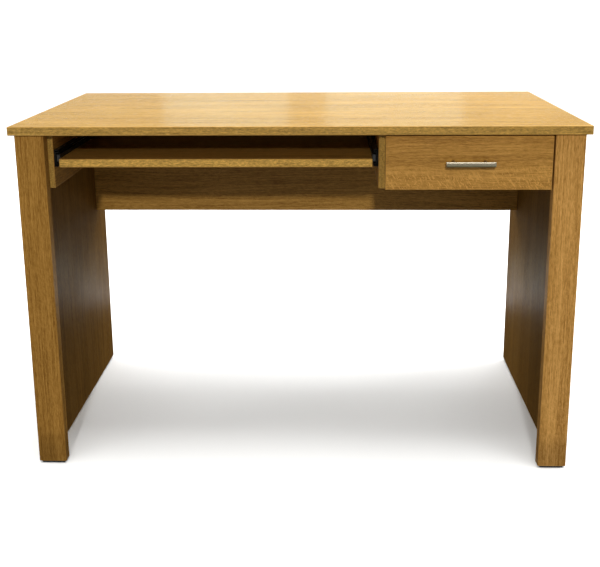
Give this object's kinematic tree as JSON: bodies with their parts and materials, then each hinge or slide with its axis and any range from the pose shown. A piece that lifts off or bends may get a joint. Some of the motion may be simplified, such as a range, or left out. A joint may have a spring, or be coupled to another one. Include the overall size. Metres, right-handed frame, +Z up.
{
  "type": "computer desk",
  "caption": "Rectangular oak-veneered computer desk with panel legs, a keyboard tray that pulls out on ball-bearing slides, a shallow drawer with a bar handle and a modesty panel.",
  "frame": {"origin": "on the floor, at the middle of the bounding box's base", "axes": "+X to the user's right along the desktop, -Y towards the user, +Z up"},
  "size_m": [1.17, 0.622, 0.75],
  "materials": {
    "oak_top": "light oak veneer, satin lacquer",
    "oak_panel": "oak veneer, satin lacquer",
    "oak_post": "oak veneer, satin lacquer",
    "oak_support": "oak veneer, satin lacquer",
    "oak_tray": "oak veneer, satin lacquer",
    "oak_front": "oak veneer, satin lacquer",
    "drawer_board": "foil-wrapped board, matt",
    "drawer_base": "hardboard, matt",
    "beech": "plain fluted dowel",
    "black_rail": "black electro-coat, satin",
    "cage_steel": "bare strip steel",
    "ball_steel": "polished",
    "zinc_plate": "bright zinc plate",
    "satin_nickel": "satin nickel",
    "glide_plastic": "black moulded plastic",
    "bumper_plastic": "grey moulded plastic"
  },
  "bodies": {
    "desk": {"desktop": "oak_top", "left_side_panel": "oak_panel", "right_side_panel": "oak_panel", "left_front_post": "oak_post", "right_front_post": "oak_post", "modesty_panel": "oak_panel", "left_tray_support": "oak_support", "centre_divider": "oak_support", "right_drawer_support": "oak_support", "front_left_glide": "glide_plastic", "front_right_glide": "glide_plastic", "rear_left_glide": "glide_plastic", "rear_right_glide": "glide_plastic", "glide_screws": "zinc_plate", "cam_locks": "zinc_plate", "cam_bolts": "zinc_plate", "wooden_dowels": "beech", "tray_rail_outer_left": "black_rail", "tray_rail_outer_right": "black_rail", "drawer_rail_outer_left": "black_rail", "drawer_rail_outer_right": "black_rail", "outer_rail_screws": "zinc_plate"},
    "tray": {"keyboard_tray": "oak_tray", "tray_rail_inner_left": "black_rail", "tray_rail_inner_right": "black_rail", "tray_screws": "zinc_plate", "tray_rail_bumpers": "bumper_plastic"},
    "tray_middle_rails": {"tray_rail_middle_left": "black_rail", "tray_rail_middle_right": "black_rail"},
    "tray_outer_cage": {"tray_outer_cages": "cage_steel", "tray_outer_balls": "ball_steel"},
    "tray_inner_cage": {"tray_inner_cages": "cage_steel", "tray_inner_balls": "ball_steel"},
    "drawer": {"drawer_front": "oak_front", "drawer_box_front": "drawer_board", "drawer_left_side": "drawer_board", "drawer_right_side": "drawer_board", "drawer_back": "drawer_board", "drawer_bottom": "drawer_base", "drawer_rail_inner_left": "black_rail", "drawer_rail_inner_right": "black_rail", "drawer_rail_screws": "zinc_plate", "drawer_box_screws": "zinc_plate", "drawer_front_screws": "zinc_plate", "drawer_rail_bumpers": "bumper_plastic", "handle": "satin_nickel", "handle_screws": "zinc_plate"},
    "drawer_middle_rails": {"drawer_rail_middle_left": "black_rail", "drawer_rail_middle_right": "black_rail"},
    "drawer_outer_cage": {"drawer_outer_cages": "cage_steel", "drawer_outer_balls": "ball_steel"},
    "drawer_inner_cage": {"drawer_inner_cages": "cage_steel", "drawer_inner_balls": "ball_steel"}
  },
  "joints": [
    {"name": "tray_slide", "type": "slide", "parent": "desk", "child": "tray", "axis": [0, -1, 0], "range_m": [0, 0.35]},
    {"name": "tray_middle_rails_slide", "type": "slide", "parent": "desk", "child": "tray_middle_rails", "axis": [0, -1, 0], "range_m": [0, 0.175]},
    {"name": "tray_outer_cage_slide", "type": "slide", "parent": "desk", "child": "tray_outer_cage", "axis": [0, -1, 0], "range_m": [0, 0.0875]},
    {"name": "tray_inner_cage_slide", "type": "slide", "parent": "desk", "child": "tray_inner_cage", "axis": [0, -1, 0], "range_m": [0, 0.2625]},
    {"name": "drawer_slide", "type": "slide", "parent": "desk", "child": "drawer", "axis": [0, -1, 0], "range_m": [0, 0.35]},
    {"name": "drawer_middle_rails_slide", "type": "slide", "parent": "desk", "child": "drawer_middle_rails", "axis": [0, -1, 0], "range_m": [0, 0.175]},
    {"name": "drawer_outer_cage_slide", "type": "slide", "parent": "desk", "child": "drawer_outer_cage", "axis": [0, -1, 0], "range_m": [0, 0.0875]},
    {"name": "drawer_inner_cage_slide", "type": "slide", "parent": "desk", "child": "drawer_inner_cage", "axis": [0, -1, 0], "range_m": [0, 0.2625]}
  ],
  "couplings": [
    {"joint": "tray_middle_rails_slide", "follows": "tray_slide", "ratio": 0.5},
    {"joint": "tray_outer_cage_slide", "follows": "tray_slide", "ratio": 0.25},
    {"joint": "tray_inner_cage_slide", "follows": "tray_slide", "ratio": 0.75},
    {"joint": "drawer_middle_rails_slide", "follows": "drawer_slide", "ratio": 0.5},
    {"joint": "drawer_outer_cage_slide", "follows": "drawer_slide", "ratio": 0.25},
    {"joint": "drawer_inner_cage_slide", "follows": "drawer_slide", "ratio": 0.75}
  ]
}
